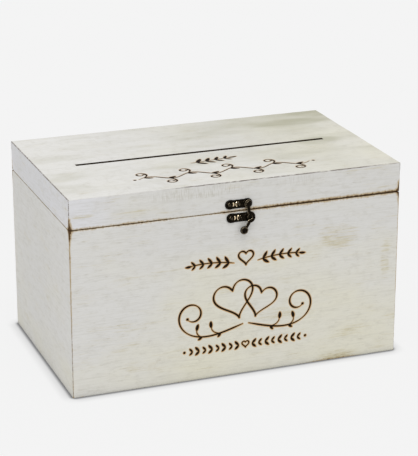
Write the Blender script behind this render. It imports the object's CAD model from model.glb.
"""Looks of the wedding card box.

Worn whitewashed boards with ornament burnt into them, and cast hardware in antique bronze. The
frame gives every place and size. Shapes are worked out in millimetres and stored in metres.
"""

import math
from itertools import product

import bmesh
import bpy
import numpy as np
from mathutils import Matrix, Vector, noise


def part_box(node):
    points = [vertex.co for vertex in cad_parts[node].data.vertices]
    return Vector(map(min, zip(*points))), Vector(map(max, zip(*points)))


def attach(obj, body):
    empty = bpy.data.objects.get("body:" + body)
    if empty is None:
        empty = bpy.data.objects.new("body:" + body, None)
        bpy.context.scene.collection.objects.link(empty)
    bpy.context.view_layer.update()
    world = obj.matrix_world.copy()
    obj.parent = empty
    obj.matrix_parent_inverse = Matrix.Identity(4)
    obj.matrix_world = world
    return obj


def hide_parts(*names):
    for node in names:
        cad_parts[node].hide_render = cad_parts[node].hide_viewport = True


MM = 0.001

# Boards, in millimetres. An edge is a style and the radius of its arris.
RIM_INSET = 2.4
ARRIS_RADIUS = 0.75
RUBBED_SIZE = 13
KNOCK_SIZE = 3.1
JOINT_RADIUS = 0.01
SLOT_LIP = 0.2
ARC_STEPS = 4
DEPTH_STEPS = 3
MITRE_GAP = 0.02
GRID_STEP = 4.0
REBATE_PLAY = 0.3
SLOT_HALF_LENGTH = 128.0
SLOT_HALF_WIDTH = 2.4
SQUARE_EDGE = ("square", ARRIS_RADIUS)
SLOT_EDGE = ("square", SLOT_LIP)

# Burnt ornament, in millimetres. Heights are above the floor, lid places are from its middle.
CARVE_STEP = 0.6
CARVE_DEPTH = 0.6
CARVE_WALL = 0.7
CARVE_LIP = 0.25
CARVE_REACH = 3.0
PEN_ANGLE = math.radians(35)
PEN_STEP = 0.7
FRONT_MIDDLE = 7.0
GARLAND_HEIGHT = 117.5
HEARTS_HEIGHT = 64.0
CHAIN_HEIGHT = 29.5
VINE_Y = -64.0
SPRIG_Y = -30.0

# How far the rubbing reaches from an arris, in millimetres. Then where the wash is thin or
# scratched on the front, and smoky on the top: (x, z or y, half-length, half-height, strength).
WEAR_REACH = 6.0
THIN_PLACES = (
    (102, 128, 30, 16, 1.0), (152, 96, 7, 28, 0.7), (112, 28, 44, 9, 0.4), (100, 4, 28, 8, 1.0),
    (36, 58, 26, 10, 0.4), (-76, 76, 12, 16, 0.3), (-99, 64, 36, 9, 0.25), (-108, 174, 26, 7, 1.0),
    (-152, 177, 15, 3, 0.9),
)
SCRATCHED_PLACES = ((-40, 187, 66, 8, 0.55), (60, 188, 30, 6, 0.4))
SMOKY_PLACES = (
    (118, 66, 60, 20, 1.0), (158, 92, 40, 22, 1.0), (120, -5, 34, 17, 1.1), (80, -44, 40, 14, 0.6),
)

# Hardware, in millimetres.
PLATE_WAIST = 0.4
PLATE_BOSS_RADIUS = 3.2
PLATE_BOSS_HEIGHT = 0.8
PLATE_SEGMENTS = 320
PLATE_RINGS = 28
PLATE_ROUND = 0.35
RELIEF_HEIGHT = 0.4
ARM_STAND = 2.1
ARM_THICKNESS = 1.1
ARM_HALF_WIDTH = 1.6
ARM_JOGGLE = 0.85
EYE_RADIUS = 3.9
EYE_HOLE = 1.25
HOOK_RADIUS = 4.0
HOOK_DEGREES = 100
KNOB_RADIUS = 4.0
KNOB_PROFILE = (
    (0.01, 0.0), (0.5, 0.12), (0.85, 0.6), (1.0, 1.2), (0.97, 1.9), (0.86, 2.55),
    (0.76, 2.75), (0.66, 2.55), (0.56, 2.15), (0.44, 2.1), (0.30, 2.4), (0.15, 2.65), (0.01, 2.7),
)
SCREW_SEGMENTS = 48
HEAD_RINGS = 19
CAST_SHINE = 7.0
PIN_SHINE = 2.5
SHARP_ANGLE = math.radians(38)
TO_FRONT, TO_BACK, DOWN = (0, -1, 0), (0, 1, 0), (0, 0, -1)

# Camera and studio.
WORLD_LIGHT = 0.80
CAMERA_AZIMUTH = math.radians(-20.57)
CAMERA_ELEVATION = math.radians(19.2)
CAMERA_DISTANCE = 1.798
CAMERA_TARGET = Vector((0.0073, 0, 0.1143))
CAMERA_LENS = 143.5
SENSOR_HEIGHT = 36
SUN_AZIMUTH = math.radians(-8)
SUN_ELEVATION = math.radians(72)
GLINT_PLACE = Vector((-0.75, -1.0, 0.85))
PAPER_GLOW = 0.82

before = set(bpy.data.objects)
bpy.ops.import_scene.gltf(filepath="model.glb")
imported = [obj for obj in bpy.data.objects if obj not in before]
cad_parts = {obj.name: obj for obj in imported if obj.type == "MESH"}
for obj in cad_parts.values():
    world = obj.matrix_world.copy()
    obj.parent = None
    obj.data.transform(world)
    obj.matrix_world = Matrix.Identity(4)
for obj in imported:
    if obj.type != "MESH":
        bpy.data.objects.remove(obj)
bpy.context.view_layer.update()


# ---- sizes from the frame


def box_mm(node):
    """A node's lowest and highest corners, in millimetres."""
    low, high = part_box(node)
    return np.array(low) / MM, np.array(high) / MM


FRONT_LOW, FRONT_HIGH = box_mm("front_panel")
TOP_LOW, TOP_HIGH = box_mm("lid_top_panel")
FLOOR_HIGH = box_mm("bottom_panel")[1]
HALF_X, HALF_Y = TOP_HIGH[0], TOP_HIGH[1]
WALL = FRONT_HIGH[1] - FRONT_LOW[1]
BODY_TOP = FRONT_HIGH[2]
LID_BOTTOM = box_mm("lid_front_rail")[0][2]
LID_TOP = TOP_HIGH[2]
REBATE_DEPTH = HALF_X - FLOOR_HIGH[0] - REBATE_PLAY
REBATE_HEIGHT = FLOOR_HIGH[2] + REBATE_PLAY


# ---- materials


def rgb(red, green, blue):
    """A colour given in 0 to 255 as a screen shows it, as the renderer's linear numbers."""
    parts = [c / 255 for c in (red, green, blue)]
    return tuple(c / 12.92 if c < 0.04045 else ((c + 0.055) / 1.055) ** 2.4 for c in parts) + (1,)


def configured(thing, **settings):
    """A Blender thing with its properties set."""
    for name, value in settings.items():
        setattr(thing, name, value)
    return thing


def math_node(operation):
    """A method of Field that adds a Math node."""
    return lambda field, *others: field.shader.math(operation, field, *others)


class Field:
    """A number that varies over a surface. Arithmetic on it adds Math nodes to its material."""

    def __init__(self, shader, socket):
        self.shader = shader
        self.socket = socket

    __add__ = math_node("ADD")
    __sub__ = math_node("SUBTRACT")
    __mul__ = math_node("MULTIPLY")
    __abs__ = math_node("ABSOLUTE")
    root = math_node("SQRT")
    at_least = math_node("MAXIMUM")
    at_most = math_node("MINIMUM")

    def __rsub__(self, other):
        return self.shader.math("SUBTRACT", other, self)

    def fall(self, low, high):
        """1 below low, 0 above high, and a smooth fall between them."""
        return 1.0 - self.ramp(low, high)

    def ramp(self, low, high):
        """0 below low, 1 above high, and a smooth rise between them."""
        settings = {"Value": self, "From Min": low, "From Max": high}
        node = self.shader.node("ShaderNodeMapRange", settings, interpolation_type="SMOOTHSTEP")
        return Field(self.shader, node.outputs["Result"])


class Shader:
    """One material's nodes, made with short calls. Places are in millimetres."""

    def __init__(self, name):
        self.material = bpy.data.materials.new(name)
        self.material.use_nodes = True
        self.nodes = self.material.node_tree.nodes
        self.links = self.material.node_tree.links
        self.surface = self.nodes["Principled BSDF"]
        self.place = self.scaled(self.node("ShaderNodeTexCoord").outputs["Object"], (1 / MM,) * 3)
        parts = self.node("ShaderNodeSeparateXYZ", {"Vector": self.place})
        self.x, self.y, self.z = (Field(self, parts.outputs[axis]) for axis in "XYZ")

    def put(self, socket, value):
        """Link a field or another node's output to a socket, or store a number or colour in it."""
        if isinstance(value, Field):
            value = value.socket
        if isinstance(value, bpy.types.NodeSocket):
            self.links.new(value, socket)
        else:
            socket.default_value = value

    def node(self, kind, values=None, **settings):
        return self.fill(configured(self.nodes.new(kind), **settings), values or {})

    def fill(self, node, values):
        for name, value in values.items():
            self.put(node.inputs[name], value)
        return node

    def math(self, operation, *values):
        node = self.node("ShaderNodeMath", operation=operation)
        for socket, value in zip(node.inputs, values):
            self.put(socket, value)
        return Field(self, node.outputs[0])

    def scaled(self, vector, factors):
        values = {0: vector, 1: factors}
        return self.node("ShaderNodeVectorMath", values, operation="MULTIPLY").outputs[0]

    def noise(self, size, seed, detail=2.0, roughness=0.5, distortion=0.0):
        """Noise from 0 to 1 whose features are about size millimetres along X, Y and Z."""
        values = {"Vector": self.scaled(self.place, [1 / s for s in size]), "W": seed}
        values |= {"Scale": 1.0, "Detail": detail, "Roughness": roughness}
        node = self.node("ShaderNodeTexNoise", values, noise_dimensions="4D")
        self.put(node.inputs["Distortion"], distortion)
        return Field(self, node.outputs[0])

    def attribute(self, name):
        node = self.node("ShaderNodeAttribute", attribute_name=name)
        return Field(self, node.outputs["Fac"])

    def mix(self, share, first, second):
        colours = {0: share, 6: first, 7: second}
        return self.node("ShaderNodeMix", colours, data_type="RGBA").outputs[2]

    def bump(self, height, distance, strength):
        values = {"Height": height, "Distance": distance * MM, "Strength": strength}
        return self.node("ShaderNodeBump", values).outputs[0]

    def finish(self, colour, roughness, normal=None, metallic=0.0, specular=0.5):
        values = {"Base Color": colour, "Roughness": roughness, "Metallic": metallic}
        values |= {"Specular IOR Level": specular} | ({"Normal": normal} if normal else {})
        self.fill(self.surface, values)
        return self.material


def along(grain, length, width):
    """The size of features that are long along the grain, as noise() takes it."""
    return tuple(length if axis == grain else width for axis in "xyz")


def spots(shader, across, places):
    """Soft spots at the places (x, other, half-length, half-height, strength), 0 outside."""
    total = 0.0
    for x, other, half_x, half_other, strength in places:
        near_x = (shader.x - x) * (1 / half_x)
        near_other = (across - other) * (1 / half_other)
        away = (near_x * near_x + near_other * near_other).root()
        total = (away.fall(0.4, 1.0) * strength).at_least(total)
    return total


def depths(shader):
    """How far a place is from the box's nearest side, and from its nearest upright arris."""
    beside_x = HALF_X - abs(shader.x)
    beside_y = HALF_Y - abs(shader.y)
    return beside_x.at_most(beside_y), beside_x.at_least(beside_y)


def arris_wear(shader, low_z, high_z, upright, over, under):
    """How rubbed the arrises of a closed box are: 1 is bare wood. Corners add up.

    upright, over and under are the strengths at the upright, upper and lower arrises. The
    upright ones are rubbed widest near the seam.
    """
    side, corner = depths(shader)
    near_seam = abs(shader.z - (BODY_TOP + LID_BOTTOM) / 2).fall(9.0, 16.0)
    arrises = (
        (corner * (1.7 - near_seam * 0.7), upright),
        (side.at_least(high_z - shader.z), over),
        (side.at_least(shader.z - low_z), under),
    )
    total = 0.0
    for distance, strength in arrises:
        closeness = (1.0 - distance * (1 / WEAR_REACH)).at_least(0.0) * strength
        total = closeness * closeness + total
    return total.root()


def seam_wear(shader, seam, on_rim, rightward, more, front, everywhere, spared):
    """How rubbed the arrises at the seam are: more in front, and more to the right."""
    in_front = shader.y.fall(-HALF_Y + 2, -HALF_Y + 12)
    wear = (rightward * more + front) * in_front + on_rim * (rightward * 0.1 + 0.25) + everywhere
    return wear - spots(shader, shader.z, ((-46, seam, 34, 20, spared),))


def body_wear(shader):
    """The body is rubbed along the front of its rim and in dots down its upright arrises."""
    on_rim = shader.z.ramp(BODY_TOP - 0.5, BODY_TOP - 0.1)
    near_seam = shader.z.ramp(BODY_TOP - 14, BODY_TOP - 4)
    upright = near_seam * 0.20 + shader.z.ramp(20.0, 110.0) * 0.25 + 0.75
    rightward = shader.x.ramp(-60.0, 60.0)
    over = seam_wear(shader, BODY_TOP, on_rim, rightward, 0.12, 0.22, 0.60, 0.16)
    under = spots(shader, shader.z, ((98, 0, 40, 20, 0.30),)) + 0.66
    return arris_wear(shader, 0.0, BODY_TOP, upright, over, under)


def lid_wear(shader):
    """The lid is rubbed hardest along the seam, and in broken lines along its front."""
    on_rim = shader.z.fall(LID_BOTTOM + 0.1, LID_BOTTOM + 0.5)
    upright = shader.z.fall(LID_BOTTOM + 9, LID_BOTTOM + 15) * 0.60 + 0.62
    rightward = shader.x.ramp(-30.0, 50.0)
    under = seam_wear(shader, LID_BOTTOM, on_rim, rightward, 0.26, 0.32, 0.62, 0.20)
    return arris_wear(shader, LID_BOTTOM, LID_TOP, upright, 0.3, under)


def crease(shader, dashes):
    """A thin broken grey line along the lid's front and left arrises and down every corner."""
    side, upright = depths(shader)
    line = side.at_least(LID_TOP - shader.z).fall(0.5, 1.15)
    corner = upright.fall(0.35, 0.95)
    left = shader.x.fall(-HALF_X + 0.6, -HALF_X + 1.2)
    right = shader.x.ramp(HALF_X - 1.2, HALF_X - 0.6)
    front = shader.y.fall(-HALF_Y + 0.6, -HALF_Y + 1.2)
    front = front * shader.x.ramp(-78.0, -40.0) * (1.0 - shader.x.ramp(120.0, 150.0) * 0.5)
    dotted = dashes.ramp(0.40, 0.52) * (left.at_least(front) * 0.90 + 0.10)
    return line.at_least(corner * (left + right)) * dotted


def wash_tone(wood, clouds, on_top, on_front):
    """The wash under its brush strokes: cool and pale at the left, warmer low on the right."""
    on_left = wood.x.fall(-HALF_X + 0.5, -HALF_X + 1.5)
    on_lid = wood.z.ramp(BODY_TOP, LID_BOTTOM)
    rightward = wood.x.ramp(-150.0, -30.0)
    low = wood.z.fall(112.0, 150.0)
    foot = wood.z.fall(10.0, 60.0)
    side_warmth = low * rightward * 0.48 + low * on_left * 0.10 + foot * 0.26 + 0.03
    warmth = side_warmth * (1.0 - on_top) + (wood.x * 0.0019 + 0.24) * on_top
    warmth = warmth + (clouds - 0.5) * 1.2
    paint = wood.mix(warmth.ramp(0.0, 1.0), COOL_WHITE, WARM_WHITE)
    bluish = (on_lid - on_top) * wood.x.fall(-HALF_X + 10, -100.0)
    paint = wood.mix(bluish * 0.9, paint, BLUISH_WHITE)
    paint = wood.mix(on_top * wood.x.fall(-150.0, -60.0) * 0.5, paint, PALE_WHITE)
    shade = on_left * (wood.y.ramp(-90.0, 10.0) * 0.10 + foot * 0.05)
    shade = shade + on_front * rightward * (wood.z.ramp(100.0, 150.0) * 0.06 + on_lid * 0.02)
    return wood.mix(shade, paint, COOL_SHADOW)


def painted_wood(name, grain, rubbing):
    """Pine under a thin white wash, rubbed back to brown along its arrises."""
    wood = Shader(name)
    strokes = wood.noise(along(grain, 42, 1.7), 1, detail=4, roughness=0.65)
    bristles = wood.noise(along(grain, 11, 0.7), 2, detail=3, roughness=0.6)
    mottle = wood.noise((8, 8, 4), 10, detail=4, roughness=0.65)
    clouds = wood.noise((75, 75, 40), 3, detail=3)
    smoke = wood.noise((80, 26, 26), 4, detail=2, distortion=0.5)
    patches = wood.noise(along(grain, 34, 15), 5, detail=4, roughness=0.6)
    dashes = wood.noise(along(grain, 7, 0.7), 6, detail=3, roughness=0.65)
    specks = wood.noise((1.7, 1.7, 1.7), 7, detail=3, roughness=0.65)
    drift = wood.noise((24, 24, 24), 8, detail=2)
    ticks = wood.noise((0.9, 0.9, 9), 9, detail=2)
    nibbles = wood.noise((3.2, 3.2, 5), 14, detail=3, roughness=0.7)
    on_top = wood.z.ramp(LID_TOP - 0.6, LID_TOP - 0.2)
    on_front = wood.y.fall(-HALF_Y + 0.5, -HALF_Y + 1.5)

    paint = wash_tone(wood, clouds, on_top, on_front)
    scratched = spots(wood, wood.z, SCRATCHED_PLACES) * on_front
    shades = (
        (1.0 - strokes).ramp(0.45, 0.75) * 0.28,
        bristles.ramp(0.50, 0.72) * 0.20,
        mottle.ramp(0.46, 0.72) * 0.20,
        ticks.ramp(0.50, 0.62) * scratched * 0.8,
    )
    for share in shades:
        paint = wood.mix(share, paint, WASH_SHADOW)
    smoky = smoke + spots(wood, wood.y, SMOKY_PLACES) * 0.26
    band = (wood.x + wood.y * 0.6).ramp(-40.0, 100.0) * (1.0 - wood.x.ramp(110.0, 150.0) * 0.75)
    corner = wood.x.ramp(30.0, 145.0) * wood.y.ramp(20.0, 90.0)
    smoky = smoky.ramp(0.42, 1.00) * 0.75 + band * 0.24 + corner * 0.42
    paint = wood.mix(smoky * on_top, paint, SMOKE)
    streaky = patches * 0.5 + strokes * 0.5
    thin = (streaky + spots(wood, wood.z, THIN_PLACES) * on_front * 0.14).ramp(0.52, 0.74)
    streaked = thin * (bristles + strokes).ramp(0.75, 1.10)
    paint = wood.mix(streaked * (0.75 - on_top * 0.3), paint, THIN_WASH)
    grainy = dashes.ramp(0.54, 0.66) * (thin * 0.42 + mottle.ramp(0.42, 0.68) * 0.20)
    paint = wood.mix(grainy, paint, GRAIN_BROWN)
    paint = wood.mix(crease(wood, dashes), paint, CREASE_GREY)

    wear = rubbing(wood) + (specks - 0.5) * 0.5 + (nibbles - 0.5) * 0.6 + (drift - 0.5) * 0.35
    bare = wear.ramp(0.92, 1.06)
    colour = wood.mix(wear.ramp(0.58, 0.95) * 0.85, paint, WORN_GOLD)
    colour = wood.mix(bare * 0.92, colour, WORN_BROWN)

    burn = wood.attribute("carve")
    scorch = burn.ramp(CARVE_REACH - 1.0, CARVE_REACH - 0.2)
    burnt = burn.ramp(CARVE_REACH - 0.12, CARVE_REACH + 0.12)
    colour = wood.mix(scorch * (0.9 - on_top * 0.45), colour, SCORCH_GOLD)
    colour = wood.mix(burnt, colour, BURNT_BROWN)

    height = strokes * 0.6 + bristles * 0.4 - bare * 0.5 - grainy * 0.8
    roughness = bristles * 0.12 + bare * 0.12 + 0.52
    gloss = (1.0 - bare.at_least(burnt)) * 0.3 + 0.04
    return wood.finish(colour, roughness, wood.bump(height, 0.12, 0.5), specular=gloss)


def raw_pine(name, grain, pale, dark, figure=9.0):
    """Bare pine, with broad growth bands and fine grain along it."""
    wood = Shader(name)
    bands = wood.noise(along(grain, 160, figure), 11, detail=3, distortion=0.6)
    fibres = wood.noise(along(grain, 34, 0.6), 12, detail=3, roughness=0.6)
    pores = wood.noise(along(grain, 7, 0.35), 13, detail=2)
    colour = wood.mix(bands.ramp(0.35, 0.68) * 0.75, pale, dark)
    colour = wood.mix(fibres.ramp(0.5, 0.75) * 0.35, colour, dark)
    colour = wood.mix(pores.ramp(0.64, 0.72) * 0.45, colour, PINE_PORE)
    height = fibres * 0.7 + pores * 0.3
    return wood.finish(colour, fibres * 0.15 + 0.6, wood.bump(height, 0.1, 0.5), specular=0.3)


def burnt_edge(name):
    """The charred wall of a laser-cut slot."""
    wood = Shader(name)
    char = wood.noise((2.5, 2.5, 9), 21, detail=3)
    colour = wood.mix(char.ramp(0.3, 0.7), BURNT_BROWN, SLOT_CHAR)
    return wood.finish(colour, 0.85, wood.bump(char, 0.1, 0.4), specular=0.05)


def antique_bronze(name):
    """Dark bronze with a dull patina, polished bright on the high spots."""
    metal = Shader(name)
    patina = metal.noise((1.6, 1.6, 1.6), 31, detail=4, roughness=0.65)
    grit = metal.noise((0.25, 0.25, 0.25), 32, detail=2)
    lumps = metal.noise((0.9, 0.9, 0.9), 33, detail=1)
    rubbed = (metal.attribute("worn") + (patina - 0.5) * 0.6).ramp(0.32, 0.80)
    colour = metal.mix(patina.ramp(0.35, 0.7), BRONZE_DARK, BRONZE_PATINA)
    colour = metal.mix(rubbed, colour, BRONZE_BRIGHT)
    roughness = patina * 0.22 + grit * 0.08 - rubbed * 0.14 + 0.24
    return metal.finish(colour, roughness, metal.bump(grit * 0.3 + lumps, 0.08, 0.5), metallic=1.0)


def plain_steel(name):
    metal = Shader(name)
    wire = metal.noise((0.8, 0.8, 0.8), 41, detail=3)
    colour = metal.mix(wire.ramp(0.35, 0.7), rgb(150, 150, 148), rgb(112, 108, 102))
    return metal.finish(colour, wire * 0.2 + 0.28, metal.bump(wire, 0.03, 0.4), metallic=1.0)


COOL_WHITE = rgb(216, 215, 212)
WARM_WHITE = rgb(219, 216, 199)
PALE_WHITE = rgb(226, 225, 221)
BLUISH_WHITE = rgb(218, 218, 221)
COOL_SHADOW = rgb(170, 170, 166)
WASH_SHADOW = rgb(176, 172, 158)
SMOKE = rgb(174, 172, 152)
THIN_WASH = rgb(190, 179, 140)
GRAIN_BROWN = rgb(120, 106, 76)
WORN_GOLD = rgb(173, 148, 102)
CREASE_GREY = rgb(112, 102, 96)
WORN_BROWN = rgb(74, 49, 24)
SCORCH_GOLD = rgb(192, 146, 78)
BURNT_BROWN = rgb(32, 22, 12)
SLOT_CHAR = rgb(74, 60, 46)
PINE_PORE = rgb(140, 100, 60)
BRONZE_DARK = rgb(18, 15, 11)
BRONZE_PATINA = rgb(34, 28, 21)
BRONZE_BRIGHT = rgb(226, 206, 172)

BODY_LONG = painted_wood("whitewash_body_long", "x", body_wear)
BODY_END = painted_wood("whitewash_body_end", "y", body_wear)
LID_LONG = painted_wood("whitewash_lid_long", "x", lid_wear)
LID_END = painted_wood("whitewash_lid_end", "y", lid_wear)
PINE = (rgb(222, 196, 156), rgb(196, 158, 110))
RAW_LONG = raw_pine("raw_pine_long", "x", *PINE)
RAW_END = raw_pine("raw_pine_end", "y", *PINE)
PLYWOOD = raw_pine("floor_plywood", "x", rgb(214, 186, 144), rgb(190, 156, 110), figure=22)
CHAR = burnt_edge("laser_char")
BRONZE = antique_bronze("antique_bronze_cast")
STEEL = plain_steel("brad_steel")

# A cross-head screw: its head's height, its shank's radius, its material, its recess's depth.
SCREW = (0.6, 1.0, BRONZE, 0.4)


# ---- ornament


def towards(angles):
    """Steps of length 1 at the given angles, as rows."""
    return np.stack((np.cos(angles), np.sin(angles)), axis=1)


def curl(start, heading, length, turn, tightening):
    """A line that leaves start nearly straight and winds up, turning more and more."""
    count = int(length / PEN_STEP)
    share = (np.arange(count) + 0.5) / count
    steps = towards(heading + turn * share**tightening) * length / count
    return np.vstack((np.zeros(2), np.cumsum(steps, axis=0))) + start


def middle_of(line, share):
    """A place part of the way along a line, and its heading there."""
    index = int(share * (len(line) - 2))
    ahead = line[index + 1] - line[index]
    return line[index], math.atan2(ahead[1], ahead[0])


def pen_stroke(line, width, contrast=0.45, taper=4.0):
    """A line drawn with a broad pen: its half-width follows its direction and thins at its ends."""
    line = np.array(line, float)
    steps = np.gradient(line, axis=0)
    angle = np.arctan2(steps[:, 1], steps[:, 0])
    share = 1 - contrast + contrast * np.abs(np.sin(angle - PEN_ANGLE))
    run = np.concatenate(([0], np.cumsum(np.linalg.norm(np.diff(line, axis=0), axis=1))))
    ends = np.clip(np.minimum(run, run[-1] - run) / taper, 0, 1)
    return line, width / 2 * share * (0.45 + 0.55 * ends)


def leaf(base, angle, length, width):
    """A pointed leaf that grows from base, a little curved."""
    share = np.linspace(0, 1, 10)
    steps = towards(angle + 0.35 * (share - 0.5)) * length / 9
    line = np.array(base) + np.vstack(([0, 0], np.cumsum(steps[1:], axis=0)))
    return line, 0.12 + width / 2 * np.sin(np.pi * share) ** 0.8


def dot(centre, radius):
    return np.array((centre, centre), float) + ((0, 0), (0.01, 0)), np.array((radius, radius))


def heart(centre, scale, width, contrast, tilt=0.0, gap=0.16):
    """An open heart in one stroke, from its dip round both lobes."""
    t = np.linspace(gap, 2 * math.pi - gap, 90)
    x = 16 * np.sin(t) ** 3
    y = 13 * np.cos(t) - 5 * np.cos(2 * t) - 2 * np.cos(3 * t) - np.cos(4 * t) + 2
    cos, sin = math.cos(tilt), math.sin(tilt)
    line = np.stack((x * cos - y * sin, x * sin + y * cos), axis=1) * scale + centre
    return pen_stroke(line, width, contrast, taper=2.0)


def mirrored(strokes, middle):
    """The strokes and their mirror images about a vertical line."""
    flipped = [(np.array((2 * middle, 0)) + line * (-1, 1), radius) for line, radius in strokes]
    return strokes + flipped


def branch(start, heading, length, turn, leaves, leaf_length, leaf_width, stem_width=1.1):
    """A curved stem with pairs of leaves along it, smaller towards its tip, and one at its tip."""
    stem = curl(start, heading, length, turn, tightening=1.0)
    strokes = [pen_stroke(stem, stem_width, contrast=0.2)]
    for index in range(leaves):
        share = (index + 0.6) / leaves
        at, ahead = middle_of(stem, share)
        size = 1 - 0.35 * share
        for side in (-1, 1):
            angle = ahead + side * math.radians(46)
            strokes.append(leaf(at, angle, leaf_length * size, leaf_width * size))
    tip, ahead = middle_of(stem, 1)
    strokes.append(leaf(tip, ahead, leaf_length * 0.8, leaf_width * 0.8))
    return strokes


def scroll_with_leaves(start, heading, length, turn):
    """A long scroll that ends in a curl round a dot, with two leafy sprouts on one side."""
    line = curl(start, heading, length, turn, tightening=2.6)
    strokes = [pen_stroke(line, 1.9, contrast=0.5, taper=10), dot(line[-1], 1.3)]
    for share, reach in ((0.18, 13), (0.33, 10)):
        at, ahead = middle_of(line, share)
        sprout = curl(at, ahead + 0.25, reach, 1.5, tightening=1.5)
        tip, onward = middle_of(sprout, 1)
        strokes.append(pen_stroke(sprout, 1.2, contrast=0.3))
        strokes += [leaf(tip, onward, 7, 3.0), leaf(at, ahead - 0.7, 5, 2.2)]
    return strokes


def front_ornament():
    """A leafy garland with a heart, two linked hearts between scrolls, and a chain of leaves."""
    middle, level = FRONT_MIDDLE, GARLAND_HEIGHT
    strokes = [heart((middle, level), 0.47, 1.7, 0.3)]
    strokes += mirrored(branch((middle + 12, level - 4), 0.22, 43, -0.34, 5, 8.6, 2.7), middle)

    level = HEARTS_HEIGHT
    strokes.append(heart((middle - 11, level + 12), 1.26, 1.9, 0.5, tilt=0.24))
    strokes.append(heart((middle + 14, level + 8), 1.04, 1.9, 0.5, tilt=-0.26))
    strokes += mirrored(scroll_with_leaves((middle + 3, level - 13), -0.30, 130, 7.6), middle)

    level = CHAIN_HEIGHT
    strokes.append(heart((middle, level), 0.22, 1.3, 0.1, gap=0.05))
    half = [dot((middle + 62, level), 1.25)]
    for step in range(1, 9):
        at = (middle + step * 6.7, level)
        size = 1.0 if step % 2 else 0.8
        half += [leaf(at, side * 0.8, 6.0 * size, 2.3 * size) for side in (-1, 1)]
    return strokes + mirrored(half, middle)


def lid_ornament():
    """A scrolling vine along the front of the lid, and a leafy sprig behind it."""
    wave, swing = 43.0, 5.5
    x = np.linspace(-2 * wave, 2 * wave, 260)
    phase = 2 * math.pi * x / wave
    strokes = [pen_stroke(np.stack((x, VINE_Y + swing * np.sin(phase)), axis=1), 2.3, taper=24)]
    for index in range(-4, 4):
        side = 1 if index % 2 else -1
        at = (index + 0.5) * wave / 2 - 5
        angle = 2 * math.pi * at / wave
        start = (at, VINE_Y + swing * math.sin(angle))
        ahead = math.atan2(swing * 2 * math.pi / wave * math.cos(angle), 1)
        tendril = curl(start, ahead - side * 0.15, 34, -side * 7.0, tightening=1.7)
        strokes += [pen_stroke(tendril, 2.1, taper=5), dot(tendril[-1], 1.4)]
        strokes.append(leaf(start, ahead + side * 0.85, 9.5, 3.4))
    strokes += [dot((side * (2 * wave + 4), VINE_Y), 1.5) for side in (-1, 1)]
    sprig = branch((-23, SPRIG_Y - 2), 0.1, 40, 0.05, 4, 13, 4.2, 1.5)
    return strokes + sprig


def distance_to_strokes(points, strokes):
    """Each point's distance outside the nearest stroke, negative within it, up to a reach."""
    nearest = np.full(len(points), CARVE_REACH)
    for line, radius in strokes:
        margin = radius.max() + CARVE_REACH
        inside = (points > line.min(axis=0) - margin) & (points < line.max(axis=0) + margin)
        chosen = np.flatnonzero(inside.all(axis=1))
        near = points[chosen]
        best = nearest[chosen]
        for start, end, first, last in zip(line, line[1:], radius, radius[1:]):
            along_line = end - start
            share = (near - start) @ along_line / max(along_line @ along_line, 1e-12)
            share = np.clip(share, 0, 1)
            gap = np.linalg.norm(near - start - share[:, None] * along_line, axis=1)
            best = np.minimum(best, gap - first - share * (last - first))
        nearest[chosen] = best
    return nearest


# ---- boards


def grid_lines(low, high, fine):
    """Lines from low to high, one every GRID_STEP, and closer in each (start, end, pace)."""
    marks = sorted({m for start, end, _ in fine for m in (start, end)} | {high})
    lines = [low]
    while lines[-1] < high - 0.01:
        here = lines[-1] + 0.005
        pace = min([GRID_STEP] + [pace for start, end, pace in fine if start <= here < end])
        stop = min(mark for mark in marks if mark > here)
        lines.append(min(lines[-1] + pace, stop))
    return lines


def worn_radius(point, base):
    """How far an arris is rubbed round at a point: knocks and long rubbed stretches."""
    if base <= JOINT_RADIUS:
        return base
    rubbed = noise.noise(Vector(point) / RUBBED_SIZE)
    knock = noise.noise(Vector(point) / KNOCK_SIZE + Vector((7, 3, 1)))
    return min(max(base * (1 + 0.55 * rubbed) + 0.9 * max(knock - 0.25, 0), 0.3), RIM_INSET - 0.3)


def edge_profile(style, radius, thickness):
    """Pairs (inset, depth) from the outer face, round the arris, and in to the inner face."""
    turn = math.pi / 4 if style == "mitre" else math.pi / 2
    angles = [turn * i / ARC_STEPS for i in range(ARC_STEPS + 1)]
    pairs = [(radius * (1 - math.sin(a)), radius * (1 - math.cos(a))) for a in angles]
    depth = pairs[-1][1]
    if style == "rebate":
        step = [(0, REBATE_DEPTH), (REBATE_HEIGHT, REBATE_DEPTH), (REBATE_HEIGHT, thickness)]
        return pairs + step
    for i in range(1, DEPTH_STEPS + 1):
        deeper = depth + (thickness - depth) * i / DEPTH_STEPS
        pairs.append((deeper if style == "mitre" else 0, deeper))
    return pairs


def border_loop(columns, rows):
    """Grid places round a rectangle of columns and rows, in order."""
    loop = [(i, rows[0]) for i in columns[:-1]] + [(columns[-1], j) for j in rows[:-1]]
    loop += [(i, rows[-1]) for i in columns[:0:-1]] + [(columns[0], j) for j in rows[:0:-1]]
    return loop


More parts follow.
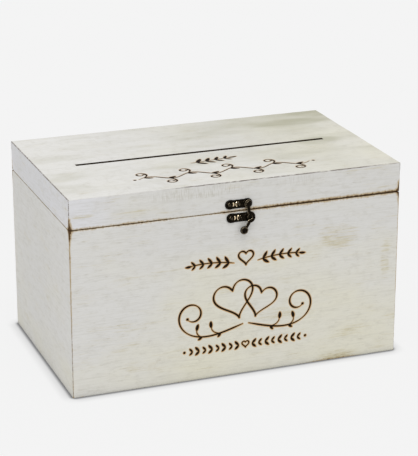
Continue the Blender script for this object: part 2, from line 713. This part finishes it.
class Board:
    """One board: a finely gridded outer face, worn arrises, and a plain inner face.

    origin is on the outer face's plane, run and rise are its axes and out its normal. span is
    (low, high) along run, and tall along rise. ends, low and high are the edges, each a style
    (mitre, square or rebate) and its arris radius.
    """

    def __init__(self, origin, run, rise, out, span, tall, thickness, ends, low, high):
        self.origin = np.array(origin, float)
        self.run, self.rise, self.out = (np.array(v, float) for v in (run, rise, out))
        self.span, self.tall, self.thickness = span, tall, thickness
        self.ends, self.low, self.high = ends, low, high
        self.strokes = []
        self.fine_run, self.fine_rise = (), ()
        self.slot = None

    def at(self, along_run, along_rise, depth):
        return self.origin + self.run * along_run + self.rise * along_rise - self.out * depth

    def face_grid(self):
        """The outer face's grid lines and places, and how deep and how burnt each place is."""
        columns, rows = (
            grid_lines(low + RIM_INSET, high - RIM_INSET, fine)
            for (low, high), fine in ((self.span, self.fine_run), (self.tall, self.fine_rise))
        )
        flat = np.stack(np.meshgrid(columns, rows, indexing="ij"), axis=-1).reshape(-1, 2)
        gap = distance_to_strokes(flat, self.strokes)
        depth = CARVE_DEPTH * np.clip(CARVE_LIP - gap, 0, CARVE_WALL) / CARVE_WALL
        return columns, rows, flat, depth, CARVE_REACH - gap

    def ring(self, place, level, bounds, grow):
        """One vertex of a ring round the face's border, or round the slot where grow is 1."""
        a, h = place
        (a_low, a_high), (h_low, h_high) = bounds
        outside = grow < 0
        margin = RIM_INSET if outside else -SLOT_LIP
        share_a = (a - a_low - margin) / (a_high - a_low - 2 * margin)
        share_h = (h - h_low - margin) / (h_high - h_low - 2 * margin)
        on_end = share_a < 1e-6 or share_a > 1 - 1e-6
        on_low, on_high = share_h < 1e-6, share_h > 1 - 1e-6
        # A long arris is worn evenly in its first half, and in knocks and stretches beyond.
        near = self.at(
            a_low if share_a < 0.5 else a_high if on_end else a,
            h_low if on_low else h_high if on_high else h,
            0,
        )
        corner = on_end and (on_low or on_high)
        profile = []
        for edge, here in ((self.ends, on_end), (self.low, on_low), (self.high, on_high)):
            style, radius = edge if outside else SLOT_EDGE
            if outside and here and not corner:
                radius = worn_radius(near, radius)
            profile.append(edge_profile(style, radius, self.thickness)[level])
        (end_inset, end_depth), (low_inset, low_depth), (high_inset, high_depth) = profile
        depth = low_depth if on_low else high_depth if on_high else end_depth
        if outside and (on_low or on_high) and self.ends[0] == "mitre":
            end_inset = max(end_inset, depth)
        low_edge, high_edge = h_low - grow * low_inset, h_high + grow * high_inset
        left_edge, right_edge = a_low - grow * end_inset, a_high + grow * end_inset
        new_a = left_edge + share_a * (right_edge - left_edge)
        new_h = low_edge + share_h * (high_edge - low_edge)
        return self.at(new_a, new_h, depth)

    def build(self, name, node, body, materials):
        """The finished object. materials are for the face, the edges, the inside and the slot."""
        columns, rows, flat, depth, mark = self.face_grid()
        shape = bmesh.new()
        carve = shape.verts.layers.float.new("carve")
        points = [shape.verts.new(self.at(a, h, d) * MM) for (a, h), d in zip(flat, depth)]
        for vert, value in zip(points, mark):
            vert[carve] = value
        indices = (range(len(columns)), range(len(rows)))
        grid = dict(zip(product(*indices), points))
        cut = self.slot_cells(columns, rows)
        for i, j in product(indices[0][:-1], indices[1][:-1]):
            if (i, j) not in cut:
                corners = ((i, j), (i + 1, j), (i + 1, j + 1), (i, j + 1))
                shape.faces.new([grid[c] for c in corners])
        bounds, outer = (self.span, self.tall), border_loop(*indices)
        edges = self.add_rings(shape, grid, columns, rows, outer, bounds, -1)
        if cut:
            sides = (sorted(set(cells)) for cells in zip(*cut))
            inner = border_loop(*(cells + [cells[-1] + 1] for cells in sides))
            edges += self.add_rings(shape, grid, columns, rows, inner, self.slot, 1)
            loose = [v for v in shape.verts if not v.link_faces]
            bmesh.ops.delete(shape, geom=loose, context="VERTS")
        filled = bmesh.ops.triangle_fill(shape, edges=edges, use_beauty=True)
        for face in filled["geom"]:
            if isinstance(face, bmesh.types.BMFace):
                face.material_index = 2
        bmesh.ops.recalc_face_normals(shape, faces=shape.faces)
        return add_piece(name, shape, body, materials, node)

    def slot_cells(self, columns, rows):
        """The grid cells inside the slot."""
        if not self.slot:
            return set()
        within = [
            [k for k in range(len(lines) - 1) if low < (lines[k] + lines[k + 1]) / 2 < high]
            for lines, (low, high) in zip((columns, rows), self.slot)
        ]
        return set(product(*within))

    def add_rings(self, shape, grid, columns, rows, loop, bounds, grow):
        """Rings from a border of the face to the inner face. Returns the last ring's edges."""
        previous = [grid[place] for place in loop]
        for level in range(ARC_STEPS + 1 + DEPTH_STEPS):
            ring = [
                shape.verts.new(self.ring((columns[i], rows[j]), level, bounds, grow) * MM)
                for i, j in loop
            ]
            for k in range(len(loop)):
                n = (k + 1) % len(loop)
                face = shape.faces.new((previous[k], previous[n], ring[n], ring[k]))
                if grow > 0:
                    face.material_index = 3
                elif level > ARC_STEPS and loop[k][0] == loop[n][0]:
                    face.material_index = 1
            previous = ring
        return [shape.edges.get(pair) for pair in zip(previous, previous[1:] + previous[:1])]


def add_piece(name, shape, body, materials, node):
    """A finished mesh that rides on a body and stands for a CAD node."""
    mesh = bpy.data.meshes.new(name)
    shape.to_mesh(mesh)
    shape.free()
    for material in materials:
        mesh.materials.append(material)
    mesh.shade_smooth()
    mesh.set_sharp_from_angle(angle=SHARP_ANGLE)
    piece = bpy.data.objects.new(name, mesh)
    bpy.context.scene.collection.objects.link(piece)
    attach(piece, body)
    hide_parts(node)
    return piece


def walls(prefix, suffix, body, low_z, high_z, low, high, long_skin, end_skin):
    """The four mitred boards round the body or the lid."""
    mitre = ("mitre", ARRIS_RADIUS)
    skins = ((HALF_X, HALF_Y, long_skin, RAW_LONG), (HALF_Y, HALF_X, end_skin, RAW_END))
    run = (1, 0, 0)
    for index, side in enumerate(("front", "right", "back", "left")):
        half, away, skin, raw = skins[index % 2]
        out = (run[1], -run[0], 0)
        origin = np.array(out) * away
        span = (-half + MITRE_GAP / 2, half - MITRE_GAP / 2)
        board = Board(origin, run, (0, 0, 1), out, span, (low_z, high_z), WALL, mitre, low, high)
        run = (-run[1], run[0], 0)
        if (prefix, side) == ("", "front"):
            board.strokes = front_ornament()
            board.fine_run = ((FRONT_MIDDLE - 76, FRONT_MIDDLE + 76, CARVE_STEP),)
            board.fine_rise = ((CHAIN_HEIGHT - 7, GARLAND_HEIGHT + 10, CARVE_STEP),)
        node = f"{prefix}{side}{suffix}"
        board.build(f"{node}_worn", node, body, (skin, raw, raw))


def lid_top():
    board = Board(
        (0, 0, LID_TOP), (1, 0, 0), (0, 1, 0), (0, 0, 1), (-HALF_X, HALF_X), (-HALF_Y, HALF_Y),
        LID_TOP - TOP_LOW[2], SQUARE_EDGE, SQUARE_EDGE, SQUARE_EDGE,
    )
    board.strokes = lid_ornament()
    halves = (SLOT_HALF_LENGTH, SLOT_HALF_WIDTH)
    board.slot = tuple((-half, half) for half in halves)
    along_slot, across_slot = (
        (-half - SLOT_LIP, half + SLOT_LIP, pace) for half, pace in zip(halves, (GRID_STEP, 2.5))
    )
    board.fine_run = ((-94, 94, CARVE_STEP), along_slot)
    board.fine_rise = ((VINE_Y - 20, SPRIG_Y + 14, CARVE_STEP), across_slot)
    board.build("lid_top_panel_worn", "lid_top_panel", "lid", (LID_LONG, LID_LONG, RAW_LONG, CHAR))


# ---- hardware


def stored(items, name, width, kind=float):
    """A value of every vertex or edge of a mesh, as the rows of an array."""
    values = np.empty(len(items) * width, kind)
    items.foreach_get(name, values)
    return values.reshape(-1, width)


def mark_high_spots(piece, strength):
    """Store how convex each vertex is, as the worn attribute that brightens the bronze."""
    mesh = piece.data
    places = stored(mesh.vertices, "co", 3)
    normals = stored(mesh.vertices, "normal", 3)
    first, second = stored(mesh.edges, "vertices", 2, int).T
    count = len(places)
    total, number = np.zeros(count), np.zeros(count)
    for here, there in ((first, second), (second, first)):
        away = places[here] - places[there]
        away /= np.maximum(np.linalg.norm(away, axis=1), 1e-9)[:, None]
        np.add.at(total, here, (away * normals[here]).sum(axis=1))
        np.add.at(number, here, 1)
    convex = total / np.maximum(number, 1)
    layer = mesh.attributes.new("worn", "FLOAT", "POINT")
    layer.data.foreach_set("value", np.clip(convex * strength, 0, 1))


def cast(name, node, body, rough, voxel):
    """A rough object fused and smoothed into one bronze casting that stands for a CAD node."""
    configured(rough.modifiers.new("remesh", "REMESH"), mode="VOXEL", voxel_size=voxel * MM)
    configured(rough.modifiers.new("smooth", "SMOOTH"), iterations=3)
    evaluated = rough.evaluated_get(bpy.context.evaluated_depsgraph_get())
    shape = bmesh.new()
    shape.from_mesh(bpy.data.meshes.new_from_object(evaluated))
    bpy.data.objects.remove(rough)
    mark_high_spots(add_piece(name, shape, body, (BRONZE,), node), CAST_SHINE)


def softened(node, body, bevel, voxel=0.18):
    """A CAD piece as a casting, with its edges rounded over."""
    rough = rough_object(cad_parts[node].data.copy())
    dissolve = rough.modifiers.new("dissolve", "DECIMATE")
    configured(dissolve, decimate_type="DISSOLVE", angle_limit=math.radians(2))
    edges = rough.modifiers.new("edges", "BEVEL")
    configured(edges, width=bevel * MM, segments=3, angle_limit=math.radians(45))
    cast(f"{node}_cast", node, body, rough, voxel)


def rough_object(mesh):
    rough = bpy.data.objects.new("rough", mesh)
    bpy.context.scene.collection.objects.link(rough)
    return rough


def join_rings(shape, rings, caps=(0, -1)):
    """Faces between rings of vertices with the same count, and one over each ring in caps."""
    for first, second in zip(rings, rings[1:]):
        for k in range(len(first)):
            n = (k + 1) % len(first)
            shape.faces.new((first[k], first[n], second[n], second[k]))
    for index in caps:
        shape.faces.new(rings[index])


def on_front(x, z, stand):
    """A place in front of the box's face, in metres."""
    return Vector((x, -HALF_Y - stand, z)) * MM


def add_turned(shape, profile, x, z, closed=False):
    """Turn a profile of (radius, stand) about an axis that comes straight out of the face."""
    angles = [2 * math.pi * k / 64 for k in range(64)]
    rings = []
    for r, stand in profile:
        places = (on_front(x + r * math.cos(a), z + r * math.sin(a), stand) for a in angles)
        rings.append([shape.verts.new(place) for place in places])
    join_rings(shape, *((rings + rings[:1], ()) if closed else (rings,)))


def rounded(points, times):
    """A line of points with its corners cut again and again."""
    for _ in range(times):
        near = 0.75 * points[:-1] + 0.25 * points[1:]
        far = 0.25 * points[:-1] + 0.75 * points[1:]
        inner = np.stack((near, far), axis=1).reshape(-1, 2)
        points = np.vstack((points[:1], inner, points[-1:]))
    return points


def latch_arm():
    """The swinging arm: a ring on the rivet, a hook round the stud, and a dished finger knob."""
    pivot = sum(box_mm("latch_rivet")) / 2
    stud = sum(box_mm("catch_stud")) / 2
    knob = box_mm("latch_arm")[0] + KNOB_RADIUS
    angles = np.radians(np.linspace(HOOK_DEGREES, -HOOK_DEGREES, 15))
    hook = stud[[0, 2]] + HOOK_RADIUS * towards(angles)
    eye = pivot[[0, 2]]
    line = rounded(np.vstack((eye - (0, 2.4), hook, hook[-1] - (0.7, 2.5), knob[[0, 2]])), 3)
    heading = np.gradient(line, axis=0)
    heading /= np.linalg.norm(heading, axis=1)[:, None]

    shape = bmesh.new()
    rings = []
    for (x, z), (ahead_x, ahead_z) in zip(line, heading):
        step = ARM_JOGGLE * (1 - smooth_step(z, stud[2] - 2.2, stud[2] + 0.5))
        middle = ARM_STAND + ARM_THICKNESS / 2 + step
        ring = []
        for angle in (2 * math.pi * k / 20 for k in range(20)):
            parts = (math.cos(angle), math.sin(angle))
            across, rise = (math.copysign(abs(part) ** 0.7, part) for part in parts)
            across *= ARM_HALF_WIDTH
            place = (x - ahead_z * across, z + ahead_x * across)
            ring.append(shape.verts.new(on_front(*place, middle + ARM_THICKNESS / 2 * rise)))
        rings.append(ring)
    join_rings(shape, rings)
    low, high = ARM_STAND, ARM_STAND + ARM_THICKNESS
    washer = [(EYE_HOLE, low), (EYE_RADIUS - 0.3, low), (EYE_RADIUS, low + 0.3)]
    washer += [(EYE_RADIUS, high - 0.3), (EYE_RADIUS - 0.3, high), (EYE_HOLE, high)]
    add_turned(shape, washer, *eye, closed=True)
    dish = [(r * KNOB_RADIUS, ARM_STAND + stand) for r, stand in KNOB_PROFILE]
    add_turned(shape, dish, knob[0], knob[2])
    bmesh.ops.recalc_face_normals(shape, faces=shape.faces)
    rough = rough_object(bpy.data.meshes.new("rough"))
    shape.to_mesh(rough.data)
    shape.free()
    cast("latch_arm_cast", "latch_arm", "latch_arm", rough, 0.16)


def smooth_step(value, low, high):
    share = min(max((value - low) / (high - low), 0), 1)
    return share * share * (3 - 2 * share)


def arc_stroke(x, radius, start, end, width):
    line = (x, 0) + radius * towards(np.radians(np.linspace(start, end, 30)))
    return line, np.full(len(line), width / 2)


def plate_relief(reach):
    """Raised ornament on a latch plate, as (dull strokes, strokes rubbed bright)."""
    dull = ((-reach, 2.9, 0, 360, 0.5), (0, 2.9, 0, 360, 0.5), (reach, 4.0, 0, 360, 0.55))
    dull += ((reach / 2 - 2.2, 1.9, -75, 75, 0.7), (reach / 2 + 1.8, 1.9, 105, 255, 0.7))
    bright = ((-7.4, 2.4, -32, 36, 0.9), (0, 2.9, 130, 225, 0.4))
    return [[arc_stroke(*arc) for arc in arcs] for arcs in (dull, bright)]


def stadium(reach, radius):
    """Round an oblong: each place on its core line, the way out, and how far out its edge is."""
    straight, bow = 2 * reach, math.pi * radius
    places = []
    for k in range(PLATE_SEGMENTS):
        run = (k + 0.5) / PLATE_SEGMENTS * 2 * (straight + bow)
        side = 1 if run < straight + bow else -1
        run -= 0 if side > 0 else straight + bow
        core = side * min(run - reach, reach)
        angle = -math.pi / 2 + max(run - straight, 0) / radius
        angle += 0 if side > 0 else math.pi
        narrow = PLATE_WAIST * smooth_step(reach - abs(core), 1.0, 4.0)
        places.append((core, math.cos(angle), math.sin(angle), radius - narrow))
    return places


def relief_plate(node, body):
    """An oblong cast plate: raised rim, ornament, and a boss under the rivet or stud."""
    low, high = box_mm(node)
    middle = (low + high) / 2
    radius = (high[2] - low[2]) / 2
    reach = (high[0] - low[0]) / 2 - radius
    back, crest = -HALF_Y - high[1], -HALF_Y - low[1]
    front = crest - PLATE_BOSS_HEIGHT
    field = front - RELIEF_HEIGHT
    levels = [(0.0, back)]
    for angle in (0, 0.5, 1.0, 1.57):
        inset, lift = PLATE_ROUND * (1 - math.cos(angle)), PLATE_ROUND * math.sin(angle)
        levels.append((inset, front - PLATE_ROUND + lift))
    shares = np.arange(1, PLATE_RINGS + 1) / PLATE_RINGS
    levels += [(PLATE_ROUND + (radius - PLATE_ROUND) * share, front) for share in shares]
    flat = []
    for (inset, _), (core, out_x, out_y, edge) in product(levels, stadium(reach, radius)):
        across = max(edge - inset, 0.0)
        flat.append((core + out_x * across, out_y * across))
    flat = np.array(flat)
    dull, bright = (distance_to_strokes(flat, strokes) for strokes in plate_relief(reach))
    shape = bmesh.new()
    worn = shape.verts.layers.float.new("worn")
    verts = []
    for index, ((x, y), away, near_bright) in enumerate(zip(flat, dull, bright)):
        shine = 0.0
        inset, stand = levels[index // PLATE_SEGMENTS]
        if stand == front:
            rim = 1 - smooth_step(inset, 0.7, 1.3)
            bead = 1 - smooth_step(min(away, near_bright), -0.15, 0.35)
            stand = field + RELIEF_HEIGHT * max(rim, bead * 0.9)
            shine = 1 - smooth_step(near_bright, 0.0, 0.35)
            beyond = math.hypot(x - reach, y) - PLATE_BOSS_RADIUS
            stand += (crest - stand) * (1 - smooth_step(beyond, -0.5, 0))
        verts.append(shape.verts.new(on_front(middle[0] + x, middle[2] + y, stand)))
        verts[-1][worn] = shine
    rings = [verts[i : i + PLATE_SEGMENTS] for i in range(0, len(verts), PLATE_SEGMENTS)]
    join_rings(shape, rings, caps=(0,))
    close_up(shape)
    add_piece(f"{node}_embossed", shape, body, (BRONZE,), node)


def close_up(shape):
    """Weld a mesh's meeting vertices and turn its faces outwards."""
    bmesh.ops.remove_doubles(shape, verts=shape.verts, dist=0.002 * MM)
    bmesh.ops.dissolve_degenerate(shape, edges=shape.edges, dist=0.001 * MM)
    bmesh.ops.recalc_face_normals(shape, faces=shape.faces)


def headed_pin(node, body, out, head_height, shank_radius, material, cross=0.0, turn=0.6):
    """A domed head on a plain shank, turned finely. cross is the depth of a cross recess."""
    low, high = box_mm(node)
    middle, across = (low + high) / 2, 1 - np.abs(out)
    head_radius = ((high - low) * across).max() / 2
    tip, top = sorted((low @ out, high @ out))
    base = top - head_height
    centre, out = Vector(middle * across), Vector(out)
    side = Vector((1, 0, 0) if out.z else (0, 0, 1))
    other = out.cross(side)
    profile = []
    for i in range(HEAD_RINGS):
        share = i / (HEAD_RINGS - 1)
        profile.append((head_radius * share, base + head_height * math.sqrt(1 - share**2.4)))
    profile += [(shank_radius, base), (shank_radius, tip + shank_radius), (0.02, tip)]
    shape = bmesh.new()
    rings = []
    for radius, stand in profile:
        ring = []
        for k in range(SCREW_SEGMENTS):
            angle = 2 * math.pi * k / SCREW_SEGMENTS
            u, v = radius * math.cos(angle), radius * math.sin(angle)
            sink = 0.0
            if cross and stand > base + 0.02:
                a = u * math.cos(turn) + v * math.sin(turn)
                b = v * math.cos(turn) - u * math.sin(turn)
                beside, along_arm = sorted((abs(a), abs(b)))
                sink = cross * (1 - smooth_step(beside, 0.16, 0.36))
                sink *= 1 - smooth_step(along_arm, head_radius * 0.5, head_radius * 0.72)
            place = centre + out * (stand - sink) + side * u + other * v
            ring.append(shape.verts.new(place * MM))
        rings.append(ring)
    join_rings(shape, rings, caps=(-1,))
    close_up(shape)
    mark_high_spots(add_piece(f"{node}_fine", shape, body, (material,), node), PIN_SHINE)


def hardware():
    relief_plate("latch_plate", "lid")
    relief_plate("catch_plate", "box")
    latch_arm()
    headed_pin("latch_rivet", "lid", TO_FRONT, 0.9, 1.1, BRONZE)
    headed_pin("catch_stud", "box", TO_FRONT, 0.7, 1.1, BRONZE)
    for number in (1, 2):
        for owner, body, turned in (("latch", "lid", 0), ("catch", "box", 0.9)):
            node = f"{owner}_screw_{number}"
            headed_pin(node, body, TO_FRONT, *SCREW, turn=0.6 * number + turned)
    for side in ("left", "right"):
        for owner, body in (("body", "box"), ("lid", "lid")):
            softened(f"hinge_{side}_{owner}_leaf", body, 0.25, voxel=0.22)
            for number in (1, 2):
                node = f"hinge_{side}_{owner}_screw_{number}"
                headed_pin(node, body, TO_BACK, *SCREW, turn=0.8 * number)
        softened(f"hinge_{side}_pin", "box", 0.3)
    for number in range(1, 9):
        headed_pin(f"bottom_brad_{number}", "box", DOWN, 0.3, 0.6, STEEL)


# ---- studio


def direction(azimuth, elevation):
    """Towards a place round the box. Azimuth 0 is in front, and + is to its right."""
    level = math.cos(elevation)
    return Vector((math.sin(azimuth) * level, -math.cos(azimuth) * level, math.sin(elevation)))


def add_facing(data, back, location=(0, 0, 0)):
    """A camera or lamp with its back towards a direction."""
    thing = bpy.data.objects.new(data.name, data)
    thing.location = location
    thing.rotation_euler = back.to_track_quat("Z", "Y").to_euler()
    bpy.context.scene.collection.objects.link(thing)
    return thing


def camera():
    data = bpy.data.cameras.new("camera")
    configured(data, lens=CAMERA_LENS, sensor_fit="VERTICAL", sensor_height=SENSOR_HEIGHT)
    back = direction(CAMERA_AZIMUTH, CAMERA_ELEVATION)
    place = CAMERA_TARGET + back * CAMERA_DISTANCE
    bpy.context.scene.camera = add_facing(data, back, place)


def studio():
    """A pale floor in an evenly lit room, a soft sun, and a small lamp that only metal shows."""
    scene = bpy.context.scene
    scene.view_settings.view_transform = "Standard"
    scene.world = bpy.data.worlds.new("studio")
    scene.world.use_nodes = True
    background = scene.world.node_tree.nodes["Background"]
    background.inputs["Color"].default_value = (1, 1, 1, 1)
    background.inputs["Strength"].default_value = WORLD_LIGHT

    bpy.ops.mesh.primitive_plane_add(size=12)
    floor = bpy.context.object
    floor.name = "floor"
    floor.data.materials.append(floor_material())

    sun = configured(bpy.data.lights.new("key", "SUN"), energy=1.0, angle=math.radians(30))
    add_facing(sun, direction(SUN_AZIMUTH, SUN_ELEVATION))
    glint = configured(bpy.data.lights.new("glint", "AREA"), size=0.1, energy=12)
    add_facing(glint, GLINT_PLACE, GLINT_PLACE).visible_diffuse = False


def floor_material():
    """Pale paper: half lit by the room, half evenly bright, with a close shadow at contact."""
    paper = Shader("floor_paper")
    near, wide = (
        paper.node("ShaderNodeAmbientOcclusion", {"Distance": reach}, samples=24).outputs["AO"]
        for reach in (0.005, 0.013)
    )
    share = Field(paper, near).ramp(0.50, 0.98)
    glow = paper.mix(share, (0.0, 0.0, 0.005, 1), (1, 1, 1, 1))
    glow = paper.mix(wide, (0.35, 0.35, 0.355, 1), glow)
    paper.put(paper.surface.inputs["Emission Color"], glow)
    paper.surface.inputs["Emission Strength"].default_value = PAPER_GLOW
    return paper.finish(rgb(78, 78, 78), 0.9, specular=0.0)


# ---- the whole box

camera()
studio()
foot, joint = ("rebate", ARRIS_RADIUS), ("square", JOINT_RADIUS)
walls("", "_panel", "box", 0.0, BODY_TOP, foot, SQUARE_EDGE, BODY_LONG, BODY_END)
walls("lid_", "_rail", "lid", LID_BOTTOM, TOP_LOW[2], SQUARE_EDGE, joint, LID_LONG, LID_END)
lid_top()
floor_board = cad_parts["bottom_panel"].data.materials
floor_board.clear()
floor_board.append(PLYWOOD)
hardware()
